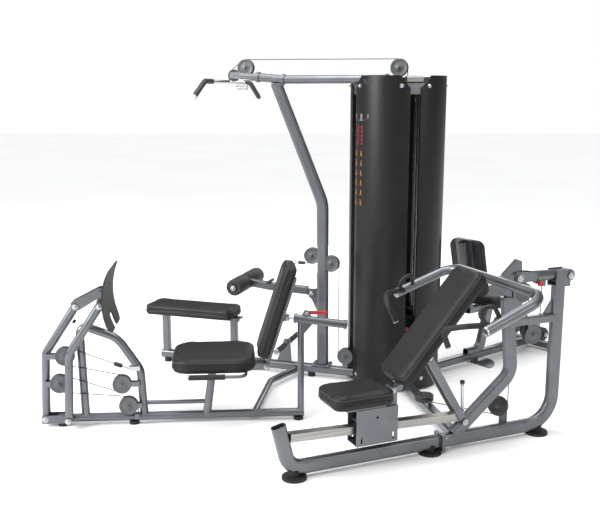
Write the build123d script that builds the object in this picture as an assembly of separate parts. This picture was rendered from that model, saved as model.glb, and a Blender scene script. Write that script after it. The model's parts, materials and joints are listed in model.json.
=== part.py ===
from build123d import *
import os
from math import acos, atan2, cos, degrees, hypot, pi, radians, sin

# Multi-station gym: four weight stacks in one tower, with a pulldown and row
# station, a leg press, a multi-press and a leg extension around it.
# Millimetres, +Z up. The origin is the tower's centre on the floor, +X runs to
# the right of a viewer who faces the press stations, +Y runs away from them.
# Each station is drawn in its own upright frame: x out along the station's
# beam, y across it, z up, and then placed by the Location of that station.

# Stations
LAT = Location((99, -178, 0), (0, 0, 162))
LEG = Location((-660, -780, 0), (0, 0, 184))
PRESS = Location((-728, -1626, 0), (0, 0, 23))
EXTENSION = Location((314, 84, 0), (0, 0, 38))
ROW = Location((0, 0, 0))

# Tube stock
WALL = 3
FLAT_ACROSS, FLAT_DEEP, FLAT_CORNER = 50, 80, 20
ROUND_R = 25
FOOT_H = 20

# Tower
TOWER_TOP = 2082
SHROUD_BOTTOM = 12
SHROUD_CHORD, SHROUD_RISE, SHROUD_OUT, SHEET = 380, 80, 240, 3
SHROUD_TURNS = {"front_left": 240, "front_right": 330, "rear_right": 60, "rear_left": 150}
STACK_TURNS = {"lat": 285, "press": 15, "extension": 105, "leg": 195}
STACK_OUT, PLATE_DEEP, PLATE_WIDE, PLATE_THICK, PLATE_PITCH = 165, 90, 236, 22, 25
DECK_Z, DECK_T, STACK_Z = 98, 6, 110
RESTING_PLATES, LIFTED_PLATES = 12, 3
LIFT_Z = STACK_Z + RESTING_PLATES * PLATE_PITCH
HEAD_TOP = LIFT_Z + LIFTED_PLATES * PLATE_PITCH + 28
ROD_R, ROD_APART, STEM_R, PIN_R = 9, 170, 8, 5
TOP_PLATE_Z, TOP_PLATE_T = 2025, 8
COLUMN_R, HUB_R = 60, 118

# Pulleys and cables
WHEEL_R, WHEEL_T, AXLE_R = 57, 22, 8
CABLE_R = 2.5
LINE_R = WHEEL_R - 2
CHEEK_IN, CHEEK_T = 14, 3

LAT_WHEEL = (116, 2133)

# Floor beams
BEAM_ACROSS, BEAM_DEEP, BEAM_Z = 60, 55, 60

# Leg press four-bar: lower and upper pivots of the outer link, and the
# offset from them to the inner link's pivots
LINK_LOW = (1524, 47)
LINK_KNEE = (1506, 452)
LINK_HIGH = (1313, 745)
LINK_SHIFT = (-150, 14)
INNER_Y = 75
LEG_CABLE_Y = 31
PIVOT_R = 10
PIVOT_GAP = 0.08

# Multi-press
PRESS_PIVOT = (1752, 948)
YOKE_PIVOT = (1402, 960)
BACK_PIVOT = (610, 415)
RAIL_START, RAIL_LENGTH, RAIL_TILT = (24, 233), 1050, 2.3
RAIL_ACROSS, RAIL_DEEP = 50, 44
BACK_TILT = 48.7
LINK_FOOT = (1070, 165)
LINK_TOP = (827, 569)

# Leg press back rest
REST_PIVOT = (195, 350)
REST_LEAN = 17.7

# Leg extension
ARM_PIVOT = (905, 470)


# ---------------------------------------------------------------- helpers
def flat(inset=0):
    return RectangleRounded(FLAT_ACROSS - 2 * inset, FLAT_DEEP - 2 * inset, FLAT_CORNER - inset)


def beam(inset=0):
    return RectangleRounded(BEAM_ACROSS - 2 * inset, BEAM_DEEP - 2 * inset, 14 - inset)


def box_tube(across, deep, corner=8):
    def section(inset=0):
        return RectangleRounded(across - 2 * inset, deep - 2 * inset, corner - inset)
    return section


def pipe(radius):
    def section(inset=0):
        return Circle(radius - inset)
    return section


def route(points, bend=None):
    if len(points) == 2:
        return Line(*points)
    return FilletPolyline(*points, radius=bend)


def swept(path, section, side):
    start = Plane(origin=path @ 0, x_dir=side, z_dir=path % 0)
    return sweep(start * section, path=path)


def in_plane(pairs, y=0):
    return [(x, y, z) for x, z in pairs]


class Weld:
    """Tubes and plates joined on the outside, then hollowed together."""

    def __init__(self):
        self.skins = []
        self.hollows = []
        self.trims = []

    def tube(self, points, section, bend=None, side=(0, 1, 0)):
        path = route(points, bend)
        self.skins.append(swept(path, section(0), side))
        self.hollows.append(swept(path, section(WALL), side))
        return self

    def add(self, *shapes):
        self.skins += shapes
        return self

    def late(self, *shapes):
        """Pieces that stay whole where they cross a tube's inside."""
        self.trims += shapes
        return self

    def skin(self):
        return Part() + self.skins

    def solid(self):
        shape = Part() + self.skins
        if self.hollows:
            shape -= self.hollows
        if self.trims:
            shape += self.trims
        return shape


def across(radius, y0, y1, x, z):
    """A cylinder across the station, from y0 to y1."""
    turn = Location((x, (y0 + y1) / 2, z), (90, 0, 0))
    return turn * Cylinder(radius, abs(y1 - y0))


def block(x0, x1, y0, y1, z0, z1):
    centre = ((x0 + x1) / 2, (y0 + y1) / 2, (z0 + z1) / 2)
    return Location(centre) * Box(abs(x1 - x0), abs(y1 - y0), abs(z1 - z0))


def side_plate(pairs, y0, y1, round_by=0):
    """A flat plate lying in the station's plane, from y0 to y1."""
    face = Plane.XZ * make_face(Polyline(*pairs, close=True))
    plate = Location((0, y0, 0)) * extrude(face, amount=y1 - y0, dir=(0, 1, 0))
    if round_by:
        plate = fillet(plate.edges().filter_by(Axis.Y), round_by)
    return plate


def bar_between(p, q, wide, y0, y1):
    """A flat bar with round ends from p to q in the station's plane."""
    length = hypot(q[0] - p[0], q[1] - p[1])
    turn = -degrees(atan2(q[1] - p[1], q[0] - p[0]))
    middle = ((p[0] + q[0]) / 2, (y0 + y1) / 2, (p[1] + q[1]) / 2)
    slot = SlotCenterToCenter(length, wide)
    plate = extrude(Plane.XZ * slot, amount=(y1 - y0) / 2, both=True)
    return Location(middle) * (Rotation(0, turn, 0) * plate)


def wheel(radius=WHEEL_R, thick=WHEEL_T, bore=AXLE_R + PIVOT_GAP):
    """A pulley wheel lying across the station, with a round groove and hub."""
    half = thick / 2
    body = Cylinder(radius, thick) - Cylinder(bore, thick)
    groove = Torus(radius - 2, CABLE_R + 0.6)
    rim_cut = Cylinder(radius + 1, 2 * CABLE_R + 1.2) - Cylinder(radius - 2, 2 * CABLE_R + 1.2)
    dish = Cylinder(radius - 12, 5) - Cylinder(bore + 8, 5)
    body = body - groove - rim_cut
    for side in (-1, 1):
        body -= Location((0, 0, side * half)) * dish
    return Rotation(90, 0, 0) * body


def wheel_at(place, y=0):
    return Location((place[0], y, place[1])) * wheel()


def cheeks(x, z, y=0, radius=WHEEL_R - 1, axle=AXLE_R):
    """Two round side plates and the axle that carry one pulley."""
    far = CHEEK_IN + CHEEK_T
    near_plate = across(radius, y + CHEEK_IN, y + far, x, z)
    far_plate = across(radius, y - far, y - CHEEK_IN, x, z)
    return Part() + [near_plate, far_plate, across(axle, y - far - 5, y + far + 5, x, z)]


def strap(x0, x1, z0, z1, y=0):
    """A plate pair that ties a pulley's cheeks to the tube beside it."""
    far = CHEEK_IN + CHEEK_T
    return [block(x0, x1, y + CHEEK_IN, y + far, z0, z1), block(x0, x1, y - far, y - CHEEK_IN, z0, z1)]


def touch_points(a, b):
    """Ends of a cable's straight run between two wheels (x, z, radius); it
    turns right round a positive radius and left round a negative one."""
    dx, dz = b[0] - a[0], b[1] - a[1]
    normal = atan2(dz, dx) + acos((a[2] - b[2]) / hypot(dx, dz))
    nx, nz = cos(normal), sin(normal)
    return (a[0] + a[2] * nx, a[1] + a[2] * nz), (b[0] + b[2] * nx, b[1] + b[2] * nz)


def round_wheel(hub, start, end, y):
    """The arc a cable makes on a wheel between two touch points."""
    first = atan2(start[1] - hub[1], start[0] - hub[0])
    last = atan2(end[1] - hub[1], end[0] - hub[0])
    way = -1 if hub[2] > 0 else 1
    middle = first + way * ((way * (last - first)) % (2 * pi)) / 2
    reach = abs(hub[2])
    crown = (hub[0] + reach * cos(middle), hub[1] + reach * sin(middle))
    return ThreePointArc(*in_plane([start, crown, end], y))


def cable(wheels, y=0):
    """A cable in the station's plane; a wheel of radius 0 is one of its ends."""
    runs = [touch_points(a, b) for a, b in zip(wheels, wheels[1:])]
    edges = [Line(*in_plane(runs[0], y))]
    for hub, before, after in zip(wheels[1:], runs, runs[1:]):
        edges += [round_wheel(hub, before[1], after[0], y), Line(*in_plane(after, y))]
    return swept(Wire(edges), Circle(CABLE_R), (0, 1, 0))


def rod(points, radius, bend=None, side=(0, 0, 1)):
    return swept(route(points, bend), Circle(radius), side)


def save(node, place, *shapes):
    solids = [piece for shape in shapes for piece in shape.solids()]
    export_step(place * Compound(solids), f"parts/{node}.step")


def pad(length, wide, thick, corner, edge):
    slab = extrude(RectangleRounded(length, wide, corner), amount=thick / 2, both=True)
    return fillet(slab.edges().group_by(Axis.Z)[0] + slab.edges().group_by(Axis.Z)[-1], edge)


# ---------------------------------------------------------------- tower
def hub_room():
    return Cylinder(HUB_R + 0.05, 400)


def around(turn):
    return Location((0, 0, 0), (0, 0, turn))


def tower_frame():
    base = extrude(RegularPolygon(290, 8), amount=10)
    hub = Location((0, 0, (10 + DECK_Z) / 2)) * Cylinder(HUB_R, DECK_Z - 10)
    hub -= Location((0, 0, (10 + DECK_Z) / 2)) * Cylinder(HUB_R - 6, DECK_Z - 10)
    deck = Location((0, 0, DECK_Z)) * extrude(RegularPolygon(240, 8), amount=DECK_T)
    top = Location((0, 0, TOP_PLATE_Z)) * extrude(RegularPolygon(285, 8), amount=TOP_PLATE_T)
    height = TOP_PLATE_Z - DECK_Z - DECK_T
    column = Location((0, 0, DECK_Z + DECK_T + height / 2)) * Cylinder(COLUMN_R, height)
    column -= Location((0, 0, DECK_Z + DECK_T + height / 2)) * Cylinder(COLUMN_R - 4, height)
    pieces = [base, hub, deck, top, column]
    for name, turn in STACK_TURNS.items():
        tongue = block(225, 297, -20, 20, DECK_Z, DECK_Z + DECK_T)
        low = block(293, 297, -62, 62, DECK_Z, DECK_Z + 50)
        high = block(293, 297, -62, 62, TOP_PLATE_Z - 60, TOP_PLATE_Z + TOP_PLATE_T)
        arm = block(250, 297, -62, 62, TOP_PLATE_Z, TOP_PLATE_Z + TOP_PLATE_T)
        rail = Location((268, 0, TOP_PLATE_Z + TOP_PLATE_T + 22), (90, 0, 0)) * Cylinder(24, 110)
        fittings = (high, arm) if name == "leg" else (tongue, low, high, arm, rail)
        pieces += [around(turn) * piece for piece in fittings]
    frame = Part() + pieces
    for turn in STACK_TURNS.values():
        frame -= around(turn) * Location((STACK_OUT, 0, TOP_PLATE_Z)) * Cylinder(12, 40)
    frame -= LAT * block(380, 530, -24, 24, 92, 240)
    housing = Part() + strap(96, 136, TOP_PLATE_Z + TOP_PLATE_T - 1, 2110) + cheeks(*LAT_WHEEL)
    return frame + LAT * housing


def shroud():
    half = SHROUD_CHORD / 2
    radius = (half ** 2 + SHROUD_RISE ** 2) / (2 * SHROUD_RISE)
    centre_y = SHROUD_OUT + SHROUD_RISE - radius
    spread = degrees(atan2(half, SHROUD_OUT - centre_y))
    outer = CenterArc((0, centre_y), radius, 90 - spread, 2 * spread)
    inner = CenterArc((0, centre_y), radius - SHEET, 90 - spread, 2 * spread)
    ends = [Line(outer @ 0, inner @ 0), Line(outer @ 1, inner @ 1)]
    sheet = extrude(make_face([outer, inner] + ends), amount=TOWER_TOP - SHROUD_BOTTOM)
    sheet = Location((0, 0, SHROUD_BOTTOM)) * sheet
    for side in (-1, 1):
        corner = [(side * 130, TOWER_TOP + 5), (side * 200, TOWER_TOP + 5), (side * 200, TOWER_TOP - 95)]
        wedge = extrude(Plane.XZ * make_face(Polyline(*corner, close=True)), amount=400, both=True)
        sheet -= wedge
    return Rotation(0, 0, -90) * sheet


def beam_room():
    """Room that the sheets leave for the beams that enter the tower."""
    lat_low = LAT * block(100, 700, -36, 36, 0, 100)
    lat_wheel = LAT * block(300, 700, -24, 24, 0, 240)
    lat_high = LAT * block(150, 700, -36, 36, 2025, 2120)
    extension = EXTENSION * block(-250, 400, -36, 36, 0, 100)
    press = PRESS_TIE * block(0, 1200, -32, 32, 0, 100)
    return Part() + [lat_low, lat_wheel, lat_high, extension, press]


TIE_START = (238, -1215)
TIE_TURN = degrees(atan2(1215, -238))
PRESS_TIE = Location((TIE_START[0], TIE_START[1], 0), (0, 0, TIE_TURN))


def plate_blank(holes):
    blank = extrude(RectangleRounded(PLATE_DEEP, PLATE_WIDE, 10), amount=PLATE_THICK)
    for y in (-ROD_APART / 2, ROD_APART / 2):
        blank -= Location((0, y, PLATE_THICK / 2)) * Cylinder(ROD_R + 0.6, PLATE_THICK)
    if holes:
        blank -= Location((0, 0, PLATE_THICK / 2)) * Cylinder(STEM_R + 0.8, PLATE_THICK)
    face = PLATE_DEEP / 2
    socket = Location((face - 27, 0, PLATE_THICK / 2), (0, 90, 0)) * Cylinder(PIN_R + 0.4, 60)
    return blank - socket


def resting_plates():
    blank = plate_blank(True)
    stack = []
    for turn in STACK_TURNS.values():
        for step in range(RESTING_PLATES):
            height = STACK_Z + step * PLATE_PITCH
            stack.append(around(turn) * Location((STACK_OUT, 0, height)) * blank)
    return stack


def lifted_plates(turn):
    blank = plate_blank(False)
    low = LIFT_Z
    pieces = [Location((STACK_OUT, 0, low + step * PLATE_PITCH)) * blank for step in range(LIFTED_PLATES)]
    stem_low = 130
    stem = Location((STACK_OUT, 0, (stem_low + HEAD_TOP) / 2)) * Cylinder(STEM_R, HEAD_TOP - stem_low)
    boss = Location((STACK_OUT, 0, HEAD_TOP - 14)) * Cylinder(20, 28)
    return around(turn) * (Part() + pieces + [stem, boss])


def stack_pin(turn):
    z = LIFT_Z + PLATE_THICK / 2
    face = STACK_OUT + PLATE_DEEP / 2
    shaft = Location((face - 8, 0, z), (0, 90, 0)) * Cylinder(PIN_R, 48)
    knob = Location((face + 28, 0, z), (0, 90, 0)) * Cylinder(13, 26)
    return around(turn) * (shaft + fillet(knob.edges(), 4))


def guide_rods():
    low, high = DECK_Z + DECK_T, TOP_PLATE_Z
    rods = []
    for turn in STACK_TURNS.values():
        for y in (-ROD_APART / 2, ROD_APART / 2):
            rods.append(around(turn) * Location((STACK_OUT, y, (low + high) / 2)) * Cylinder(ROD_R, high - low))
    return rods


def build_tower():
    save("tower_frame", ROW, tower_frame())
    sheet, room = shroud(), beam_room()
    for name, turn in SHROUD_TURNS.items():
        save(f"shroud_{name}", ROW, around(turn) * sheet - room)
    save("resting_plates", ROW, *resting_plates())
    save("guide_rods", ROW, *guide_rods())
    for name, turn in STACK_TURNS.items():
        save(f"{name}_lifted_plates", ROW, lifted_plates(turn))
        save(f"{name}_selector_pin", ROW, stack_pin(turn))


# ---------------------------------------------------------------- pulldown and row
FRONT_WHEEL = (1173, 2142)
TIP_WHEEL, TIP_R = (1262, 2092), 40
BAR_X, BAR_Z = TIP_WHEEL[0] + TIP_R - 2, 2048
ROW_HIGH, ROW_MID, ROW_LOW = (697, 871), (560, 823), (452, 170)
HOLD_PIVOT, HOLD_TIP = (700, 605), (1195, 655)


def lat_base():
    weld = Weld().tube(in_plane([(118, BEAM_Z), (1872, BEAM_Z)]), beam)
    weld.tube(in_plane([(1834, 60), (1834, 372)]), box_tube(50, 50))
    weld.tube(in_plane([(1290, 60), (1290, 372)]), box_tube(50, 50))
    weld.add(block(1235, 1925, -40, 40, 372, 382))
    weld.add(block(1250, 1910, -8, 8, 352, 373))
    weld.add(side_plate([(850, 85), (960, 85), (905, 255), (862, 255)], -6, 6, 8))
    weld.late(across(10, -232, 232, 884, 225), cheeks(*ROW_LOW))
    weld.late(*strap(434, 470, BEAM_Z + BEAM_DEEP / 2 - 1, 150))
    weld.late(block(352, 374, -9, 9, BEAM_Z + BEAM_DEEP / 2 - 1, 130))
    return LAT * weld.solid() - hub_room()


def lat_upright():
    weld = Weld().tube(in_plane([(619, 88), (624, 1235), (957, 2044)]), flat, 260)
    weld.add(block(560, 690, -45, 45, 88, 98))
    weld.add(side_plate([(655, 575), (720, 575), (720, 632), (655, 640)], -5, 5))
    weld.add(side_plate([(655, 470), (700, 560), (720, 578), (655, 578)], -5, 5))
    slot = block(575, 680, -20.5, 20.5, 750, 945)
    shape = weld.solid() - slot - block(850, 1100, -40, 40, 2023, 2100)
    spacers = [block(600, 650, *sides, 845, 865) for sides in ((16, 22), (-22, -16))]
    shape += cheeks(*ROW_HIGH) + cheeks(*ROW_MID) + spacers
    return shape + across(AXLE_R, -13, 13, *HOLD_PIVOT)


def lat_boom():
    weld = Weld()
    weld.tube(in_plane([(195, 2062), (896, 2062), (1222, 2092)]), pipe(28), 500)
    lean = degrees(atan2(30, 326))
    for x, z in ((1085, 2079.5), (905, 2063)):
        ring = Location((x, 0, z), (0, 90 - lean, 0)) * (Cylinder(35, 20) - Cylinder(26, 20))
        weld.add(ring)
    weld.add(block(188, 196, -40, 40, 2033.3, 2095))
    weld.add(block(905, 985, -20, 20, 2023, 2040))
    shape = weld.solid() - block(1105, 1228, -18, 18, 2062, 2140)
    tips = [side_plate([(1205, 2066), (1285, 2073), (1285, 2112), (1205, 2117)], y, y + 9, 6)
            for y in (16, -25)]
    shape += cheeks(*FRONT_WHEEL)
    shape += [block(1130, 1216, *sides, 2092, 2106) for sides in ((15, 24), (-24, -15))]
    return shape + tips + across(6, -25, 25, *TIP_WHEEL)


def lat_cable():
    line = LINE_R
    top = cable([(STACK_LAT_X, HEAD_TOP + 1, 0), (*LAT_WHEEL, line), (*FRONT_WHEEL, line),
                 (*TIP_WHEEL, TIP_R - 2), (BAR_X, BAR_Z + 12, 0)])
    return top


def row_cable():
    line = LINE_R
    run = cable([(795, ROW_HIGH[1] - line, 0), (*ROW_HIGH, line), (*ROW_MID, -line),
                 (*ROW_LOW, line), (375, ROW_LOW[1] - line, 0)])
    stop = Location((775, 0, ROW_HIGH[1] - line), (0, 90, 0)) * Cylinder(11, 46)
    hook = Location((838, 0, ROW_HIGH[1] - line), (90, 0, 0)) * Torus(16, 4)
    shank = rod([(795, 0, ROW_HIGH[1] - line), (822, 0, ROW_HIGH[1] - line)], 5)
    return run + stop + hook + shank


STACK_LAT_X = LAT_WHEEL[0] - LINE_R


def lat_bar():
    points = [(BAR_X, -575, 1945), (BAR_X, -400, BAR_Z), (BAR_X, 400, BAR_Z), (BAR_X, 575, 1945)]
    shaft = rod(points, 12, [70, 70], (1, 0, 0))
    eye = Location((BAR_X, 0, BAR_Z + 5)) * Cylinder(9, 14)
    grips = []
    for side in (-1, 1):
        grip = [(BAR_X, side * 570, 1948), (BAR_X, side * 400, BAR_Z), (BAR_X, side * 285, BAR_Z)]
        grips.append(rod(grip, 17, [70], (1, 0, 0)))
    return shaft + eye + grips


def row_handle():
    loop = [(1170, 0, 2006), (1160, 0, 2030), (1250, 0, 2030), (1240, 0, 2006)]
    frame = rod(loop, 5, [8, 8], (0, 1, 0))
    grip = rod([(1168, 0, 2006), (1242, 0, 2006)], 12, side=(0, 1, 0))
    ring = Location((1205, 0, 2038), (90, 0, 0)) * Torus(9, 3)
    return frame + grip + ring


def hold_arm():
    x0, z0 = HOLD_PIVOT
    weld = Weld().tube(in_plane([(735, 622), (1000, 632), (HOLD_TIP[0], HOLD_TIP[1])]), box_tube(40, 55), 200)
    weld.add(block(728, 736, -20, 20, 596, 650))
    for y in (6, -12):
        weld.add(bar_between(HOLD_PIVOT, (745, 622), 44, y, y + 6))
    weld.late(across(22, -20, 20, *HOLD_TIP), across(10, -232, 232, *HOLD_TIP))
    for y in (-238, 232):
        weld.late(across(18, y, y + 6, *HOLD_TIP))
    weld.late(across(10, -60, 60, 1010, 668), block(1000, 1020, -8, 8, 640, 668))
    return weld.solid() - across(AXLE_R + PIVOT_GAP, -20, 20, x0, z0)


def roller(radius, y0, y1, centre, bore):
    body = across(radius, y0, y1, *centre)
    return fillet(body.edges().filter_by(GeomType.CIRCLE), 8) - across(bore, y0, y1, *centre)


def hold_rollers():
    rollers = []
    for y0, y1 in ((27, 229), (-229, -27)):
        rollers.append(roller(58, y0, y1, HOLD_TIP, 10 + PIVOT_GAP))
    return rollers


def bench_pad():
    return Location((1612, 0, 419)) * pad(690, 250, 74, 45, 14)


def foot_pegs():
    return [across(19, y0, y1, 884, 225) - across(10, y0, y1, 884, 225) for y0, y1 in ((60, 230), (-230, -60))]


def build_lat():
    save("lat_base", ROW, lat_base())
    save("lat_upright", LAT, lat_upright())
    save("lat_boom", LAT, lat_boom())
    save("lat_cable", LAT, lat_cable())
    save("row_cable", LAT, row_cable())
    save("lat_bar", LAT, lat_bar())
    save("row_handle", LAT, row_handle())
    save("hold_down_arm", LAT, hold_arm())
    save("hold_down_rollers", LAT, *hold_rollers())
    save("bench_pad", LAT, bench_pad())
    save("lat_tower_pulley", LAT, wheel_at(LAT_WHEEL))
    save("lat_front_pulley", LAT, wheel_at(FRONT_WHEEL))
    save("row_pulley_high", LAT, wheel_at(ROW_HIGH))


# ---------------------------------------------------------------- leg press
LEG_Z = 45
LEG_WHEELS = {"link_high": (1388, 444), "link_low": (1427, 275), "arch_mid": (1060, 263), "arch_low": (1026, 127)}
FOOTPLATE = [(1083, 980), (1124, 790), (1083, 615)]
SLEEVE_START, SLEEVE_TILT, SLEEVE_LENGTH = (27, 643), 8.5, 325
LUG = (66.6, 648.9)
LEVER_PIVOT = (-50, 675)
SHAFT_R = 9


def swing_link(shift, y):
    low, knee, high = [(x + shift[0], z + shift[1]) for x, z in (LINK_LOW, LINK_KNEE, LINK_HIGH)]
    weld = Weld().tube(in_plane([low, knee, high], y), pipe(ROUND_R), 90)
    weld.late(across(24, y - 25, y + 25, *low), across(24, y - 25, y + 25, *high))
    bore = PIVOT_R + PIVOT_GAP
    shape = weld.solid() - across(bore, y - 40, y + 40, *low)
    return shape - across(bore + (0.6 if y else 0), y - 40, y + 40, *high)


def leg_outer_link():
    shape = swing_link((0, 0), 0)
    for name, x in (("link_high", 1500), ("link_low", 1512)):
        place = LEG_WHEELS[name]
        shape += strap(place[0], x, place[1] - 16, place[1] + 16, LEG_CABLE_Y)
        shape += cheeks(*place, LEG_CABLE_Y)
        shape += block(x - 8, x, 10, LEG_CABLE_Y + CHEEK_IN + CHEEK_T, place[1] - 16, place[1] + 16)
    return shape


def sleeve_place():
    return Location((SLEEVE_START[0], 0, SLEEVE_START[1]), (0, 180 - SLEEVE_TILT, 0))


def sleeve_ring(x, long, radius):
    ring = Cylinder(radius, long) - Cylinder(SHAFT_R + 0.2, long)
    return sleeve_place() * Location((x, 0, 0), (0, 90, 0)) * ring


def leg_base():
    weld = Weld().tube(in_plane([(-34, LEG_Z), (1452, LEG_Z)]), pipe(ROUND_R))
    weld.tube(in_plane([(561, LEG_Z), (519, 350)]), pipe(ROUND_R))
    weld.tube(in_plane([(930, 130), (548, 130)]), pipe(13))
    weld.tube(in_plane([(-15, LEG_Z), (-15, 620)]), pipe(20))
    tilt = radians(SLEEVE_TILT)
    end = (SLEEVE_START[0] - SLEEVE_LENGTH * cos(tilt), SLEEVE_START[1] - SLEEVE_LENGTH * sin(tilt))
    weld.tube(in_plane([SLEEVE_START, end]), pipe(ROUND_R))
    for y in (26, -34):
        weld.add(side_plate([(1400, 22), (1545, 22), (1545, 72), (1400, 72)], y, y + 8, 6))
    weld.add(block(1400, 1450, -27, 27, 24, 66))
    weld.add(block(290, 700, -60, 60, 350, 372), side_plate([(-30, 620), (-100, 618), (-30, 540)], -4, 4))
    weld.add(block(180, 300, 31, 37, 332, 372), block(180, 300, -37, -31, 332, 372))
    weld.late(across(PIVOT_R, -34, 34, *LINK_LOW), across(8, -37, 37, *REST_PIVOT))
    inner = (LINK_LOW[0] + LINK_SHIFT[0], LINK_LOW[1] + LINK_SHIFT[1])
    weld.late(across(16, 18, INNER_Y - 26, *inner), across(PIVOT_R, 20, INNER_Y + 32, *inner))
    weld.late(block(966, 990, 12, LEG_CABLE_Y + 12, 40, 72))
    weld.late(sleeve_ring(10, 16, 30), sleeve_ring(317, 16, 30), sleeve_ring(20, 28, 23))
    for y in (8, -13):
        weld.late(side_plate([(-20, 655), (-80, 650), (-58, 685), (-40, 688)], y, y + 5))
    weld.late(across(5, -13, 13, *LEVER_PIVOT))
    for side in (-1, 1):
        points = [(320, side * 40, 361), (320, side * 238, 361), (650, side * 238, 361)]
        weld.late(rod(points, 10, [45]))
    return weld.solid()


def corner_link():
    """The bent floor tube between the leg press and the pulldown beam."""
    weld = Weld().tube([(-929, -799, LEG_Z), (-850, -200, LEG_Z), (-662, 69, LEG_Z)], pipe(22), [150])
    leg_tube = LEG * swept(Line((-40, 0, LEG_Z), (1500, 0, LEG_Z)), Circle(ROUND_R + 0.05), (0, 1, 0))
    lat_tube = LAT * swept(Line((700, 0, BEAM_Z), (900, 0, BEAM_Z)), beam(-0.05), (0, 1, 0))
    pieces = (weld.solid() - leg_tube - lat_tube).solids().sort_by(SortBy.VOLUME)
    return pieces[-1]


def leg_arch():
    points = in_plane([(1288, 60), (1301, 628), (1081, 540), (952, 340), (938, 60)])
    weld = Weld().tube(points, pipe(ROUND_R), [40, 150, 110])
    for name, edge in (("arch_mid", 955), ("arch_low", 945)):
        x, z = LEG_WHEELS[name]
        weld.late(*strap(edge, x, z - 15, z + 15, LEG_CABLE_Y), cheeks(x, z, LEG_CABLE_Y))
        weld.late(block(edge, edge + 10, 18, LEG_CABLE_Y + CHEEK_IN + CHEEK_T, z - 15, z + 15))
    weld.late(block(950, 1015, 10, 43, 345, 372))
    shape = weld.solid() - swept(Line((-40, 0, LEG_Z), (1500, 0, LEG_Z)), Circle(ROUND_R + 0.2), (0, 1, 0))
    return shape - swept(Line((940, 0, 130), (540, 0, 130)), Circle(13.3), (0, 1, 0))


def arch_stop():
    lean = degrees(atan2(193, 293))
    return Location((1301 + 33 * 0.835, 0, 628 + 33 * 0.55), (0, 90 - lean, 0)) * Cylinder(12, 17)


def leg_cable():
    order = [("link_high", 1), ("arch_mid", -1), ("link_low", 1), ("arch_low", -1)]
    wheels = [(*LEG_WHEELS[name], turn * LINE_R) for name, turn in order]
    return cable([(1016, 359, 0)] + wheels + [(971, 73, 0)], LEG_CABLE_Y)


def foot_carrier():
    weld = Weld()
    high, inner = LINK_HIGH, (LINK_HIGH[0] + LINK_SHIFT[0], LINK_HIGH[1] + LINK_SHIFT[1])
    outline = [(1338, 722), (1338, 768), (1175, 852), (1136, 852), (1136, 812), (1180, 790), (1290, 722)]
    for y in (26.5, -34.5):
        weld.add(side_plate(outline, y, y + 8, 8))
    weld.add(side_plate([(1190, 770), (1190, 742), (1146, 736), (1146, 790), (1180, 800)], 26.5, 34.5, 6))
    weld.add(across(15, -120, 120, 1152, 835))
    weld.add(across(PIVOT_R, -40, 40, *high), across(PIVOT_R, 30, INNER_Y + 32, *inner))
    weld.add(across(18, 28, INNER_Y - 26, *inner))
    return weld.solid()


def footplate():
    top, middle, low = FOOTPLATE
    bow = ThreePointArc((top[0], 0, top[1]), (middle[0], 0, middle[1]), (low[0], 0, low[1]))
    skin = ThreePointArc((top[0] + 10, 0, top[1]), (middle[0] + 10, 0, middle[1]), (low[0] + 10, 0, low[1]))
    face = make_face([bow, skin, Line(bow @ 0, skin @ 0), Line(bow @ 1, skin @ 1)])
    plate = extrude(face, amount=205, both=True)
    outline = Location((1100, 0, 797.5)) * (Rotation(0, 90, 0) * extrude(RectangleRounded(365, 400, 60), 80, both=True))
    return plate & outline - block(1000, 1200, -42, 42, 560, 700)


def red_lever():
    blade = bar_between(LEVER_PIVOT, (-165, 672), 20, -7, 7) + across(13, -7, 7, *LEVER_PIVOT)
    return blade - across(5 + PIVOT_GAP, -8, 8, *LEVER_PIVOT)


def adjuster_rod():
    place = sleeve_place()
    shaft = place * Location((118, 0, 0), (0, 90, 0)) * Cylinder(SHAFT_R, 300)
    eye = place * Location((-40, 0, 0)) * Box(24, 18, 40)
    slot = extrude(Plane.XZ * Rotation(0, 0, 90) * SlotCenterToCenter(24, 13), amount=20, both=True)
    return shaft + eye - place * Location((-40, 0, 0)) * slot


def rest_lean_place(along, behind):
    lean = radians(REST_LEAN)
    x = 225 - along * sin(lean) - behind * cos(lean)
    z = 420 + along * cos(lean) - behind * sin(lean)
    return Location((x, 0, z), (0, -REST_LEAN, 0))


def leg_back_frame():
    start, end = rest_lean_place(-68, 50).position, rest_lean_place(510, 50).position
    weld = Weld().tube([tuple(start), tuple(end)], box_tube(60, 26, 5))
    weld.late(across(17, -30, 30, *REST_PIVOT))
    weld.add(rest_lean_place(300, 38.5) * Box(5, 120, 420))
    for y in (12, -18):
        weld.late(side_plate([(108, 624), (100, 662), (58, 664), (54, 634)], y, y + 6))
    weld.late(across(6, -18, 18, *LUG))
    shape = weld.solid() - across(8 + PIVOT_GAP, -40, 40, *REST_PIVOT)
    return shape


def leg_back_pad():
    return rest_lean_place(296, 0) * (Rotation(0, -90, 0) * pad(590, 280, 72, 50, 16))


def leg_seat_pad():
    return Location((510, 0, 413)) * pad(500, 440, 80, 110, 18)


def leg_wheels(*names):
    return [wheel_at(LEG_WHEELS[name], LEG_CABLE_Y) for name in names]


def build_leg_press():
    save("leg_base", LEG, leg_base(), LEG.inverse() * corner_link())
    save("leg_arch", LEG, leg_arch())
    save("leg_outer_link", LEG, leg_outer_link())
    save("leg_inner_link", LEG, swing_link(LINK_SHIFT, INNER_Y))
    save("foot_carrier", LEG, foot_carrier())
    save("footplate", LEG, footplate())
    save("leg_cable", LEG, leg_cable())
    save("red_lever", LEG, red_lever())
    save("adjuster_rod", LEG, adjuster_rod())
    save("leg_back_frame", LEG, leg_back_frame())
    save("leg_back_pad", LEG, leg_back_pad())
    save("leg_seat_pad", LEG, leg_seat_pad())
    save("leg_link_pulleys", LEG, *leg_wheels("link_high", "link_low"))


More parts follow.
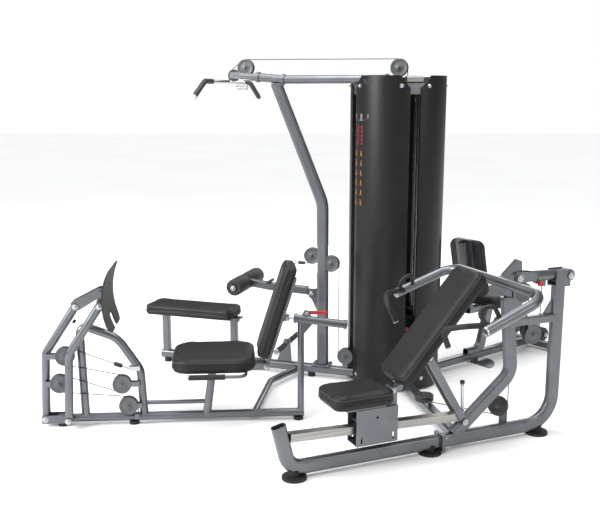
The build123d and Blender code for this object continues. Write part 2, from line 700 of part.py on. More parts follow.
# ---------------------------------------------------------------- multi-press
YOKE_HALF = 430
BRACE_Z = 700
HANG_WHEEL, MAST_WHEEL = (1527, 614), (1446, 868)
CABLE_DROP, FLOOR_WHEEL, TOWER_SIDE, TAIL_Z = (1386, 0), (1110, 459), (1224, 900), 135
TAIL_RUNS = [touch_points((*CABLE_DROP, 0), (*FLOOR_WHEEL, LINE_R)),
             touch_points((*FLOOR_WHEEL, LINE_R), (*TOWER_SIDE, 0))]
LOW_TURN = atan2(TAIL_RUNS[0][1][1], TAIL_RUNS[0][1][0] - CABLE_DROP[0])
LOW_PLACE = Location((CABLE_DROP[0] + LINE_R * cos(LOW_TURN), LINE_R * sin(LOW_TURN), 0),
                     (0, 0, degrees(LOW_TURN)))
RAIL = Location((RAIL_START[0], 0, RAIL_START[1]), (0, RAIL_TILT, 0))


def press_tube():
    points = in_plane([(-36, 300), (22, 60), (1700, 60), (1700, 892)])
    return Weld().tube(points, flat, [95, 170])


def mast_tube():
    return Weld().tube(in_plane([(1020, 85), (1395, 400), (1348, 842)]), flat, 110)


def press_tie():
    weld = Weld().tube([(0, 0, BEAM_Z), (1238, 0, BEAM_Z)], beam)
    weld.late(block(415, 505, 4, 26, BEAM_Z + BEAM_DEEP / 2 - 2, TAIL_Z - CHEEK_IN - 1))
    housing = PRESS * (Location((*FLOOR_WHEEL, TAIL_Z)) * (Rotation(90, 0, 0) * cheeks(0, 0)))
    shape = PRESS_TIE * weld.solid() + housing
    return shape - PRESS * press_tube().skin() - PRESS * mast_tube().skin() - hub_room()


def press_base():
    weld = press_tube()
    weld.late(LOW_PLACE * (cheeks(0, TAIL_Z + LINE_R) + strap(-50, -12, 84, 160)))
    weld.add(block(925, 935, -46, 46, 14, 106), block(936, 946, -46, 46, 14, 106))
    weld.late(block(1652, 1752, -40, -34.5, 885, 985), block(1652, 1752, 34.5, 40, 885, 985))
    weld.late(across(30, -40, -34.5, *PRESS_PIVOT), across(30, 34.5, 40, *PRESS_PIVOT))
    weld.late(block(1655, 1712, -40, 40, 885, 893))
    weld.late(across(12, -46, 46, *PRESS_PIVOT))
    return weld.solid()


def press_mast():
    weld = mast_tube()
    weld.tube(in_plane([(1370, BRACE_Z), (1700, BRACE_Z)]), box_tube(50, 50, 10))
    weld.add(block(1317, 1364, -29, 29, 838, 850))
    weld.add(Location((1347, 0, 873), (0, -6, 0)) * Box(36, 30, 60))
    weld.add(side_plate([(1600, 722), (1662, 722), (1662, 815)], -5, 5))
    weld.late(*strap(1490, 1564, 630, BRACE_Z - 22))
    weld.late(cheeks(*HANG_WHEEL))
    weld.late(*strap(1375, 1440, 790, 880))
    weld.late(cheeks(*MAST_WHEEL))
    base = press_tube().skin()
    holes = [Location((x, 0, BRACE_Z)) * Cylinder(11, 60) for x in (1582, 1482)]
    shape = weld.solid() - base - holes
    return shape - Location((*CABLE_DROP, 370)) * Cylinder(7, 90)


def press_rail():
    body = RAIL * Location((RAIL_LENGTH / 2, 0, 0)) * Box(RAIL_LENGTH, RAIL_ACROSS, RAIL_DEEP)
    body -= RAIL * Location((RAIL_LENGTH / 2, 0, 0)) * Box(RAIL_LENGTH, RAIL_ACROSS - 6, RAIL_DEEP - 6)
    foot = across(10, -46, 46, *LINK_FOOT)
    return body + foot - mast_tube().skin() - press_tube().skin()


def press_carriage():
    shell = block(385, 632, -55, 55, 135, 335)
    room = RAIL * Location((RAIL_LENGTH / 2, 0, 0)) * Box(RAIL_LENGTH + 80, RAIL_ACROSS + 1, RAIL_DEEP + 1)
    shell -= block(380, 637, -50, 50, 140, 330)
    guide = block(390, 627, -50, 50, 180, 262) - block(380, 637, -46, 46, 140, 330)
    rollers = [across(9, -50, 50, x, z - 0.0402 * (x - 505)) for x in (420, 590) for z in (248.5, 178.8)]
    pieces = [shell, block(330, 560, -50, 50, 335, 375)]
    pieces += [block(590, 632, y, y + 8, 330, 432) for y in (32, -40)]
    body = Part() + pieces - room
    body -= [across(7, -60, 60, x, z) for x, z in ((508, 285),)]
    body -= [block(x, x + 10, -60, 60, 150, 190) for x in (410, 600)]
    return body + across(8, -40, 40, *BACK_PIVOT) + rollers


def press_seat_pad():
    return Location((405, 0, 413)) * pad(360, 280, 74, 60, 16)


def back_place(along, behind):
    tilt = radians(BACK_TILT)
    x = 595 + along * cos(tilt) + behind * sin(tilt)
    z = 490 + along * sin(tilt) - behind * cos(tilt)
    return Location((x, 0, z), (0, -BACK_TILT, 0))


def press_back_frame():
    start, end = back_place(-30, 92).position, back_place(600, 92).position
    weld = Weld().tube([tuple(start), tuple(end)], box_tube(52, 28, 5))
    weld.add(back_place(380, 78.5) * Box(520, 120, 5))
    weld.late(across(16, -31.5, 31.5, *BACK_PIVOT))
    hip = back_place(-10, 92).position
    for y in (25, -31.5):
        weld.late(bar_between(BACK_PIVOT, (hip.X, hip.Z), 30, y, y + 6.5))
    weld.late(across(8, -44, 44, *LINK_TOP))
    for y in (18, -26):
        weld.late(bar_between(LINK_TOP, (LINK_TOP[0] - 14, LINK_TOP[1] + 14), 26, y, y + 8))
    return weld.solid() - across(8 + PIVOT_GAP, -60, 60, *BACK_PIVOT)


def press_back_pad():
    return back_place(370, 37) * pad(740, 270, 74, 55, 16)


def back_links():
    links = []
    for y in (30, -38):
        bar = bar_between(LINK_FOOT, LINK_TOP, 40, y, y + 8) - across(10 + PIVOT_GAP, -60, 60, *LINK_FOOT)
        length = hypot(LINK_TOP[0] - LINK_FOOT[0], LINK_TOP[1] - LINK_FOOT[1])
        turn = -degrees(atan2(LINK_TOP[1] - LINK_FOOT[1], LINK_TOP[0] - LINK_FOOT[0]))
        slot = extrude(Plane.XZ * SlotCenterToCenter(8, 21.5), amount=60, both=True)
        links.append(bar - Location((LINK_TOP[0], 0, LINK_TOP[1])) * (Rotation(0, turn, 0) * slot))
    return links


def press_lever():
    weld = Weld().tube(in_plane([(1490, 957), PRESS_PIVOT]), pipe(30))
    weld.late(across(34, -34, 34, *PRESS_PIVOT))
    for y in (26.5, -34.5):
        weld.add(side_plate([(1375, 940), (1375, 985), (1420, 992), (1520, 980), (1520, 935), (1420, 930)], y, y + 8, 6))
    weld.late(across(12, -40, 40, *YOKE_PIVOT))
    weld.late(block(1562, 1602, -9, 9, 892, 932))
    weld.late(across(7, -52, 26, 1540, 918), block(1530, 1550, -12, 12, 912, 936))
    return weld.solid() - across(12 + PIVOT_GAP, -60, 60, *PRESS_PIVOT)


def press_knob():
    return across(13, -52, -27, 1540, 918) - across(7, -52, -27, 1540, 918)


def yoke_arm_points():
    near = (885, -YOKE_HALF - 20, 815)
    return [near, (1262, -YOKE_HALF, 950), (1262, YOKE_HALF, 950), (885, YOKE_HALF + 20, 815)]


def press_yoke():
    weld = Weld().tube(yoke_arm_points(), pipe(28), [110, 110])
    weld.tube(in_plane([(1262, 950), YOKE_PIVOT]), pipe(25))
    weld.late(across(34, -26, 26, *YOKE_PIVOT))
    weld.add(side_plate([(1300, 975), (1395, 1062), (1425, 1050), (1432, 975), (1402, 945)], -14, 14, 5))
    return weld.solid() - across(12 + PIVOT_GAP, -60, 60, *YOKE_PIVOT)


def press_handles():
    grips = []
    for side in (-1, 1):
        arm = side * (YOKE_HALF + 14)
        grip = [(925, arm - side * 24, 838), (790, arm - side * 50, 838), (742, side * 285, 800), (790, side * 270, 700)]
        grips.append(rod(grip, 15, [70, 50]))
        grab = [(985, arm - side * 22, 872), (960, arm - side * 40, 935), (880, arm - side * 60, 905), (905, arm - side * 22, 845)]
        grips.append(rod(grab, 12, [30, 30]))
    return [Part() + grips - Weld().tube(yoke_arm_points(), pipe(28.3), [110, 110]).skin()]


def press_cable():
    drop = cable([(1582, 891, 0), (*HANG_WHEEL, LINE_R), (*MAST_WHEEL, -LINE_R), (1368, 800, 0)])
    return [drop, tail_cable()]


def tail_cable():
    """Down from the mast, round the low wheel and along the floor to the tower."""
    (start, touch), (leave, end) = TAIL_RUNS
    low = (start[0] + LINE_R * cos(LOW_TURN), LINE_R * sin(LOW_TURN))
    top, turn_z, dip = (*start, 410), TAIL_Z + LINE_R, LINE_R * (1 - cos(pi / 4))
    under = (start[0] + dip * cos(LOW_TURN), dip * sin(LOW_TURN), TAIL_Z + dip)
    flat_arc = round_wheel((*FLOOR_WHEEL, LINE_R), touch, leave, 0)
    flat_arc = Location((0, 0, TAIL_Z)) * (Rotation(-90, 0, 0) * flat_arc)
    edges = [Line(top, (*start, turn_z)), ThreePointArc((*start, turn_z), under, (*low, TAIL_Z)),
             Line((*low, TAIL_Z), (*touch, TAIL_Z)), flat_arc, Line((*leave, TAIL_Z), (*end, TAIL_Z))]
    return swept(Wire(edges), Circle(CABLE_R), (0, 1, 0))


def build_press():
    save("press_base", ROW, PRESS * press_base(), press_tie())
    save("press_mast", PRESS, press_mast())
    save("press_rail", PRESS, press_rail())
    save("press_carriage", PRESS, press_carriage())
    save("press_seat_pad", PRESS, press_seat_pad())
    save("press_back_frame", PRESS, press_back_frame())
    save("press_back_pad", PRESS, press_back_pad())
    save("press_back_links", PRESS, *back_links())
    save("press_lever", PRESS, press_lever(), press_knob())
    save("press_yoke", PRESS, press_yoke())
    save("press_handles", PRESS, *press_handles())
    save("press_cable", PRESS, *press_cable())


# ---------------------------------------------------------------- leg extension
SEAT_Z = 440
ROLLER_AT = (962, 172)


def extension_lean(along, behind):
    lean = radians(12)
    x = 385 - along * sin(lean) - behind * cos(lean)
    z = 530 + along * cos(lean) - behind * sin(lean)
    return Location((x, 0, z), (0, -12, 0))


def extension_frame():
    weld = Weld().tube(in_plane([(-240, BEAM_Z), (1130, BEAM_Z)]), beam)
    weld.tube(in_plane([(330, 85), (480, 85), (572, SEAT_Z - 25)]), flat, 90)
    weld.tube(in_plane([(335, SEAT_Z - 24), (865, SEAT_Z - 24)]), box_tube(50, 50))
    weld.late(*[block(805, 860, *sides, SEAT_Z - 44, SEAT_Z - 6) for sides in ((22, 30), (-30, -22))])
    low, high = extension_lean(-90, 54).position, extension_lean(420, 54).position
    weld.tube([tuple(low), tuple(high)], box_tube(62, 30, 6))
    weld.tube([(1105, -260, 45), (1105, 260, 45)], box_tube(50, 50), side=(1, 0, 0))
    weld.add(block(440, 850, -60, 60, SEAT_Z, SEAT_Z + 8), extension_lean(250, 36.5) * Box(5, 150, 380))
    weld.add(Location((400, 0, 4)) * (Cylinder(170, 8) & Location((85, 0, 0)) * Box(170, 360, 20)))
    weld.add(block(410, 450, -20, 20, 7, 40))
    for y in (26.5, -34.5):
        weld.late(side_plate([(800, 390), (935, 440), (935, 495), (882, 495), (866, 440), (800, 436)], y, y + 8, 6))
    weld.late(across(PIVOT_R, -40, 40, *ARM_PIVOT))
    for side in (-1, 1):
        grab = [(600, side * 20, SEAT_Z - 26), (600, side * 235, SEAT_Z - 26), (690, side * 235, SEAT_Z + 70)]
        weld.late(rod(grab, 11, [40]))
    return weld.solid()


def extension_arm():
    weld = Weld().tube(in_plane([ARM_PIVOT, (925, 330), ROLLER_AT]), pipe(22), 90)
    weld.late(across(26, -25, 25, *ARM_PIVOT), across(PIVOT_R, -235, 235, *ROLLER_AT))
    weld.late(across(24, -26, 26, *ROLLER_AT))
    weld.late(*[across(17, y, y + 6, *ROLLER_AT) for y in (-241, 235)])
    return weld.solid() - across(PIVOT_R + PIVOT_GAP, -60, 60, *ARM_PIVOT)


def build_extension():
    save("extension_frame", ROW, EXTENSION * extension_frame() - hub_room())
    seat = Location((650, 0, SEAT_Z + 43)) * pad(420, 360, 70, 70, 16)
    back = extension_lean(215, 0) * (Rotation(0, -90, 0) * pad(430, 300, 68, 60, 16))
    save("extension_pads", EXTENSION, seat, back)
    save("extension_arm", EXTENSION, extension_arm())
    ends = ((29, 232), (-232, -29))
    save("extension_rollers", EXTENSION, *[roller(52, *end, ROLLER_AT, PIVOT_R + PIVOT_GAP) for end in ends])


# ---------------------------------------------------------------- small parts
def frame_pulleys():
    lat = [wheel_at(ROW_MID), wheel_at(ROW_LOW)]
    lat.append(Location((TIP_WHEEL[0], 0, TIP_WHEEL[1])) * wheel(TIP_R, WHEEL_T, 6 + PIVOT_GAP))
    leg = leg_wheels("arch_mid", "arch_low")
    press = [wheel_at(HANG_WHEEL), wheel_at(MAST_WHEEL)]
    press.append(LOW_PLACE * Location((0, 0, TAIL_Z + LINE_R)) * wheel())
    press.append(Location((*FLOOR_WHEEL, TAIL_Z)) * (Rotation(90, 0, 0) * wheel()))
    return [LAT * item for item in lat] + [LEG * item for item in leg] + [PRESS * item for item in press]


def foot(place, x, y, radius, height, flange=None):
    body = Location((x, y, height / 2)) * Cylinder(radius, height)
    if flange:
        body += Location((x, y, 7)) * Cylinder(flange, 14)
    return place * body


def rubber_feet():
    lat = [foot(LAT, x, 0, 26, BEAM_Z - BEAM_DEEP / 2) for x in (700, 1290, 1830)]
    leg = [foot(LEG, x, y, 30, 20) for x, y in ((0, 0), (1000, 0), (1425, 0))]
    press = [foot(PRESS, x, 0, 30, 50, 66) for x in (52, 871, 1600)]
    press = [item - PRESS * press_tube().skin() for item in press]
    extension = [foot(EXTENSION, 1105, y, 24, 20) for y in (-220, 220)]
    return lat + leg + press + extension


def tube_grip(points, radius, core, bend, place):
    return place * (rod(points, radius, bend) - rod(points, core, bend))


def hand_grips():
    grips = [LAT * item for item in foot_pegs()]
    for side in (-1, 1):
        grips.append(tube_grip([(440, side * 238, 361), (652, side * 238, 361)], 16, 10, None, LEG))
    return grips


def rubber_parts():
    return rubber_feet() + hand_grips() + [LEG * arch_stop()]


def bolt(place, x, y, z, turn=(0, 0, 0)):
    head = extrude(RegularPolygon(8, 6), amount=7) + Cylinder(10.5, 3)
    return place * Location((x, y, z), turn) * head


def frame_bolts():
    bolts = [bolt(LAT, x, y, 99.5) for x in (572, 678) for y in (-36, 36)]
    bolts += [bolt(PRESS, 947.5, y, z, (0, 90, 0)) for y in (-37, 37) for z in (32, 88)]
    return bolts


build_tower()
build_lat()
build_leg_press()
build_press()
build_extension()
save("frame_pulleys", ROW, *frame_pulleys())
save("rubber_parts", ROW, *rubber_parts())
save("frame_bolts", ROW, *frame_bolts())
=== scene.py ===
import bpy
import bmesh
import json
from math import acos, atan2, ceil, cos, hypot, pi, radians, sin
from mathutils import Matrix, Vector
from mathutils.bvhtree import BVHTree


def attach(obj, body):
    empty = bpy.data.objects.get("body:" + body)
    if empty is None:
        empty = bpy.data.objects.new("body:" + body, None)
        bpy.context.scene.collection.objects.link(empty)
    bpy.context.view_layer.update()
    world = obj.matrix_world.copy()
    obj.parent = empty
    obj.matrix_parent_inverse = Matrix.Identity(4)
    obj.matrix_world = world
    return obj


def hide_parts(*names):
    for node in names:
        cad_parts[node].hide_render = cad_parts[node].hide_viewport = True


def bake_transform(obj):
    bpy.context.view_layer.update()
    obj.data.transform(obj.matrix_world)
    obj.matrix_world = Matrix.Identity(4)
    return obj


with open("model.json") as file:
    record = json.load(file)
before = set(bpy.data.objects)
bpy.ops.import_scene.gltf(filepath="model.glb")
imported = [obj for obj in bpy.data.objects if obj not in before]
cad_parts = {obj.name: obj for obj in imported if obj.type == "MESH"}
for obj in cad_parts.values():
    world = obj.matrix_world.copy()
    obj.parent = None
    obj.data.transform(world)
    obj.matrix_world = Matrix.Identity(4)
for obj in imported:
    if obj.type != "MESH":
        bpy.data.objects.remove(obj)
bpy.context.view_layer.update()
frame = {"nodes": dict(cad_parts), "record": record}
NODES = frame["nodes"]


# ------------------------------------------------------------ stations
class Station:
    """A station's upright frame: u along its beam, v across, w up, in metres."""

    def __init__(self, x, y, turn):
        self.matrix = Matrix.Translation((x, y, 0)) @ Matrix.Rotation(radians(turn), 4, "Z")

    def point(self, u, w, v=0.0):
        return self.matrix @ Vector((u, v, w))

    def way(self, u, w, v=0.0):
        return (self.matrix.to_3x3() @ Vector((u, v, w))).normalized()

    def inside(self, p):
        q = self.matrix.inverted() @ Vector(p)
        return q.x, q.z, q.y


LAT = Station(0.099, -0.178, 162)
LEG = Station(-0.660, -0.780, 184)
PRESS = Station(-0.728, -1.626, 23)
EXTENSION = Station(0.314, 0.084, 38)


# ------------------------------------------------------------ materials
RELIEF_DEPTH = .001


def surface(name, dark, light, rough, metal=0.0, grain=40.0, bump=0.1, stretch=(1, 1, 1), cells=False,
            coat=0.0, specular=0.5):
    """A finish whose colour and relief both come from generated textures: dark
    and light are its two tones, grain how fine it is, cells a leather grain."""
    mat = bpy.data.materials.new(name)
    mat.use_nodes = True
    tree = mat.node_tree
    shader = tree.nodes["Principled BSDF"]
    shader.inputs["Metallic"].default_value = metal
    shader.inputs["Roughness"].default_value = rough
    shader.inputs["Coat Weight"].default_value = coat
    shader.inputs["Coat Roughness"].default_value = 0.12
    shader.inputs["Specular IOR Level"].default_value = specular
    place = tree.nodes.new("ShaderNodeTexCoord")
    scale = tree.nodes.new("ShaderNodeMapping")
    scale.inputs["Scale"].default_value = stretch
    tree.links.new(place.outputs["Object"], scale.inputs["Vector"])
    cloud = tree.nodes.new("ShaderNodeTexNoise")
    cloud.inputs["Scale"].default_value = grain * 0.12
    cloud.inputs["Detail"].default_value = 6
    tree.links.new(scale.outputs["Vector"], cloud.inputs["Vector"])
    ramp = tree.nodes.new("ShaderNodeValToRGB")
    ramp.color_ramp.elements[0].color = (*dark, 1)
    ramp.color_ramp.elements[1].color = (*light, 1)
    ramp.color_ramp.elements[0].position = 0.3
    ramp.color_ramp.elements[1].position = 0.7
    tree.links.new(cloud.outputs["Fac"], ramp.inputs["Fac"])
    tree.links.new(ramp.outputs["Color"], shader.inputs["Base Color"])
    kind = "ShaderNodeTexVoronoi" if cells else "ShaderNodeTexNoise"
    fine = tree.nodes.new(kind)
    fine.inputs["Scale"].default_value = grain * 10
    tree.links.new(scale.outputs["Vector"], fine.inputs["Vector"])
    relief = tree.nodes.new("ShaderNodeBump")
    relief.inputs["Strength"].default_value = bump
    relief.inputs["Distance"].default_value = RELIEF_DEPTH
    tree.links.new(fine.outputs["Distance" if cells else "Fac"], relief.inputs["Height"])
    tree.links.new(relief.outputs["Normal"], shader.inputs["Normal"])
    return mat


MATS = {
    "frame_paint": surface("gunmetal_paint", (.122, .130, .140), (.158, .166, .178),
                           .30, .76, 60, .08, coat=.25),
    "shroud_paint": surface("black_sheet_paint", (.0045, .0045, .0047), (.0075, .0075, .0078),
                            .38, .0, 90, .12, specular=.34),
    "plate_paint": surface("plate_enamel", (.006, .006, .0065), (.012, .012, .013), .45, .0, 70, .2),
    "stainless": surface("brushed_stainless", (.27, .262, .25), (.39, .378, .36),
                         .30, .95, 30, .25, (.6, .6, 30)),
    "chrome": surface("chrome_plate", (.44, .45, .47), (.52, .53, .55), .17, 1.0, 20, .02),
    "upholstery": surface("grained_vinyl", (.0065, .0065, .007), (.0115, .0115, .012),
                          .52, .0, 60, .16, cells=True, specular=.32),
    "foam": surface("black_rubber", (.006, .006, .0065), (.011, .011, .0115), .68, .0, 80, .35),
    "pulley_plastic": surface("pulley_nylon", (.012, .012, .013), (.022, .022, .023), .5, .0, 60, .15),
    "pulley_grey": surface("pulley_cover", (.075, .082, .088), (.095, .102, .108), .45, .1, 60, .15),
    "cable_jacket": surface("cable_jacket", (.012, .012, .012), (.03, .03, .03), .35, .0, 200, .3),
    "red_plastic": surface("red_moulding", (.42, .010, .014), (.55, .018, .02), .35, .0, 60, .1, coat=.3),
    "footplate": surface("foot_plate_grit", (.010, .0105, .011), (.018, .0185, .019), .62, .0, 120, .5),
    "label_red": surface("label_red", (.34, .02, .02), (.42, .03, .03), .5, .0, 60, .1),
    "label_orange": surface("label_orange", (.36, .13, .03), (.45, .18, .05), .5, .0, 60, .1),
    "label_grey": surface("label_grey", (.10, .10, .105), (.14, .14, .145), .5, .0, 60, .1),
    "rubber": surface("grip_rubber", (.010, .010, .011), (.018, .018, .019), .55, .0, 90, .35),
    "foam_sleeve": surface("foam_sleeve", (.012, .012, .013), (.020, .020, .021),
                           .60, .0, 70, .5, cells=True),
    # the welt is real piping; its tone, lighter than the pad's same vinyl, is partly a painted highlight
    # along the pad's edge
    "welt": surface("vinyl_welt_painted_highlight", (.022, .022, .024), (.034, .034, .036), .42, .0, 60, .2),
    "pulley_dark": surface("pulley_cover_dark", (.022, .024, .026), (.032, .034, .036), .5, .1, 60, .15),
    # painted shade: a near-black tone for a flat patch that stands in for the shade inside the lock's recess
    "lock_shade_paint": surface("painted_lock_shade", (.004, .004, .004), (.007, .007, .007), .6, .0, 60, .1),
    "bolt_dark": surface("dark_bolt", (.10, .10, .105), (.14, .14, .145), .35, .9, 60, .1),
    "steel": surface("satin_steel", (.42, .43, .45), (.52, .53, .55), .3, .95, 60, .1),
    "cap_white": surface("pale_cap", (.62, .60, .57), (.72, .70, .67), .4, .0, 60, .1),
    "floor": surface("studio_floor", (.88, .88, .88), (.92, .92, .92), .9, .0, 3, .02, specular=.1),
}
for entry in frame["record"]["subparts"]:
    node, kind = entry["node"], entry["material_slot"]
    kind = "footplate" if node == "footplate" else kind
    data = NODES[node].data
    data.materials.clear()
    data.materials.append(MATS[kind])


def paint(node, mat, rule):
    """Gives the faces of a CAD node that the rule picks a second finish."""
    data = NODES[node].data
    data.materials.append(MATS[mat])
    index = len(data.materials) - 1
    for face in data.polygons:
        if rule(NODES[node].matrix_world @ face.center):
            face.material_index = index


# ------------------------------------------------------------ mesh makers
def publish(name, mesh, body, mat, smooth=True):
    obj = bpy.data.objects.new(name, mesh)
    bpy.context.scene.collection.objects.link(obj)
    mesh.materials.append(MATS[mat])
    if smooth:
        mesh.shade_smooth()
    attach(obj, body)
    return obj


def frame_at(origin, axis):
    return Matrix.Translation(origin) @ Vector(axis).to_track_quat("Z", "Y").to_matrix().to_4x4()


def lathe_into(mesh_verts, mesh_faces, profile, origin, axis, steps=20, sides=None):
    """A turned form: profile is (radius, height) pairs along the axis; sides
    makes the rings of that many corners, such as 6 for a hexagon head."""
    turn = frame_at(origin, axis)
    first = len(mesh_verts)
    for radius, height in profile:
        for i in range(steps):
            a = 2 * pi * i / steps
            reach = radius
            if sides:
                part = pi / sides
                reach = radius * cos(part) / cos((a % (2 * part)) - part)
            mesh_verts.append(turn @ Vector((reach * cos(a), reach * sin(a), height)))
    for ring in range(len(profile) - 1):
        for i in range(steps):
            a, b = first + ring * steps + i, first + ring * steps + (i + 1) % steps
            mesh_faces.append((a, b, b + steps, a + steps))
    mesh_faces.append(tuple(reversed(range(first, first + steps))))
    last = first + (len(profile) - 1) * steps
    mesh_faces.append(tuple(range(last, last + steps)))


def lathes(name, items, body, mat):
    """One piece made of several turned forms: (profile, origin, axis[, sides])."""
    verts, faces = [], []
    for profile, origin, axis, *sides in items:
        lathe_into(verts, faces, profile, origin, axis, 24, sides[0] if sides else None)
    mesh = bpy.data.meshes.new(name)
    mesh.from_pydata(verts, [], faces)
    mesh.validate()
    obj = publish(name, mesh, body, mat)
    mod = obj.modifiers.new("edges", "EDGE_SPLIT")
    mod.split_angle = radians(40)
    return obj


def cap_nut(origin, axis, r):
    """A washer, a hexagon nut and its domed end, standing on a face."""
    washer = [(r * 1.4, 0), (r * 1.4, .0016), (r * 1.3, .002)]
    body = [(r, .0018), (r, .0070), (r * .93, .0078)]
    dome = [(r * .80, .0076), (r * .76, .0092), (r * .6, .0108), (r * .35, .0118), (r * .1, .0121)]
    return [(washer, origin, axis), (body, origin, axis, 6), (dome, origin, axis)]


def end_cap(origin, axis, r, high=.006):
    """A rounded plug over the end of a tube or grip."""
    dome = [(r * (.75 + .25 * cos(a)), high * (.35 + .65 * sin(a))) for a in (0, .35, .7, 1.05, 1.35, 1.5)]
    return [(r, -.004), (r, high * .35)] + dome + [(r * .3, high)], origin, axis


def tube(name, points, radius, steps=14, closed=False):
    """A tube mesh along the points, with its rings turned to follow them."""
    verts, faces = [], []
    points = [Vector(p) for p in points]
    count = len(points)
    side = None
    for i, p in enumerate(points):
        after = points[(i + 1) % count] if closed else points[min(i + 1, count - 1)]
        before = points[i - 1] if closed else points[max(i - 1, 0)]
        ahead = (after - before).normalized()
        if side is None:
            side = ahead.orthogonal().normalized()
        side = (side - ahead * side.dot(ahead)).normalized()
        up = ahead.cross(side)
        for k in range(steps):
            a = 2 * pi * k / steps
            verts.append(p + (side * cos(a) + up * sin(a)) * radius)
    for i in range(count if closed else count - 1):
        j = (i + 1) % count
        for k in range(steps):
            n = (k + 1) % steps
            faces.append((i * steps + k, i * steps + n, j * steps + n, j * steps + k))
    if not closed:
        faces.append(tuple(reversed(range(steps))))
        faces.append(tuple(range(len(verts) - steps, len(verts))))
    mesh = bpy.data.meshes.new(name)
    mesh.from_pydata(verts, [], faces)
    return mesh


def tube_piece(name, points, radius, body, mat, steps=14, closed=False):
    return publish(name, tube(name, points, radius, steps, closed), body, mat)


# ------------------------------------------------------------ padded pieces
VOXEL = .006
SIDE_ROOM, FACE_ROOM, FACE_LIFT = .002, .0045, .0015    # how much smaller a pad starts
PINNED_DEPTH = .016                                     # this much of a pad's back stays still
SWELL_CAP, CROWN_MAX = .006, .004
BOARD_ROOM = .006
WELT_R, WELT_SINK, WELT_DEPTH = .0024, .0008, .018


def node_copy(node, number, name):
    """One solid of a CAD node as an object of its own, in the row frame."""
    mesh = NODES[node].data.copy()
    build = bmesh.new()
    build.from_mesh(mesh)
    bmesh.ops.remove_doubles(build, verts=build.verts, dist=1e-5)
    islands, seen = [], set()
    for start in build.verts:
        if start in seen:
            continue
        group, queue = [], [start]
        seen.add(start)
        while queue:
            v = queue.pop()
            group.append(v)
            for e in v.link_edges:
                w = e.other_vert(v)
                if w not in seen:
                    seen.add(w)
                    queue.append(w)
        islands.append(group)
    islands.sort(key=lambda g: sum(v.co.z for v in g) / len(g))
    drop = [v for k, group in enumerate(islands) if k != number for v in group]
    bmesh.ops.delete(build, geom=drop, context="VERTS")
    build.to_mesh(mesh)
    build.free()
    mesh.materials.clear()
    obj = bpy.data.objects.new(name, mesh)
    bpy.context.scene.collection.objects.link(obj)
    return obj


def settle(obj):
    """Applies the object's modifiers to its mesh."""
    done = bpy.data.meshes.new_from_object(obj.evaluated_get(bpy.context.evaluated_depsgraph_get()))
    obj.modifiers.clear()
    obj.data = done


def swell(obj, pinned):
    """Blows the shape up a little as cloth, keeping the pinned side flat."""
    group = obj.vertex_groups.new(name="pin")
    rest = [v.co.copy() for v in obj.data.vertices]
    group.add([i for i, p in enumerate(rest) if pinned(p)], 1.0, "REPLACE")
    cloth = obj.modifiers.new("cloth", "CLOTH")
    cloth.settings.quality = 4
    cloth.settings.use_pressure = True
    cloth.settings.uniform_pressure_force = 4
    cloth.settings.effector_weights.gravity = 0
    cloth.settings.vertex_group_mass = "pin"
    cloth.settings.tension_stiffness = 25
    cloth.settings.compression_stiffness = 25
    for number in range(1, 21):
        bpy.context.scene.frame_set(number)
    settle(obj)
    bpy.context.scene.frame_set(1)
    for v, p in zip(obj.data.vertices, rest):
        step = v.co - p
        if step.length > SWELL_CAP:
            v.co = p + step.normalized() * SWELL_CAP


def outline(long, wide, corner, step=.012):
    """Points and outward directions round a rounded rectangle."""
    marks = []
    centres = [(long / 2 - corner, wide / 2 - corner, 0), (corner - long / 2, wide / 2 - corner, 90),
               (corner - long / 2, corner - wide / 2, 180), (long / 2 - corner, corner - wide / 2, 270)]
    for k, (x, y, turn) in enumerate(centres):
        for i in range(9):
            a = radians(turn + 90 * i / 8)
            marks.append((Vector((x + corner * cos(a), y + corner * sin(a), 0)), Vector((cos(a), sin(a), 0))))
        ax, ay, _ = centres[(k + 1) % 4]
        a = radians(turn + 90)
        way = Vector((cos(a), sin(a), 0))
        start, end = Vector((x, y, 0)) + way * corner, Vector((ax, ay, 0)) + way * corner
        runs = ceil((end - start).length / step)
        marks += [(start.lerp(end, i / runs), way) for i in range(1, runs)]
    return marks


def piping(name, obj, fit, size, level, body):
    """A thin welt laid on the pad's side at one level, all the way round."""
    tree = BVHTree.FromPolygons([v.co for v in obj.data.vertices], [p.vertices for p in obj.data.polygons])
    turn = fit.to_3x3()
    points = []
    for spot, way in outline(*size[:2], size[3]):
        start = fit @ (spot + way * .05 + Vector((0, 0, level)))
        hit = tree.ray_cast(start, -(turn @ way))[0]
        if hit:
            points.append(hit - (turn @ way) * WELT_SINK)
    # real welt geometry in a lighter vinyl that partly paints the edge highlight
    tube_piece(name, points, WELT_R, body, "welt", 8, True)


def board(name, fit, size, body):
    """The moulded backing board under a pad."""
    half, inset = size[2] / 2, .012
    marks = outline(size[0] - 2 * inset, size[1] - 2 * inset, size[3] - inset, .04)
    rings = [(-.0012, 0), (0, .0012), (0, .0065)]
    count = len(marks)
    verts = [fit @ (spot + way * reach + Vector((0, 0, lift - half)))
             for reach, lift in rings for spot, way in marks]
    faces = [tuple(reversed(range(count))), tuple(range(2 * count, 3 * count))]
    for ring in range(2):
        for i in range(count):
            a, b = ring * count + i, ring * count + (i + 1) % count
            faces.append((a, b, b + count, a + count))
    mesh = bpy.data.meshes.new(name)
    mesh.from_pydata(verts, [], faces)
    publish(name, mesh, body, "pulley_plastic", False)


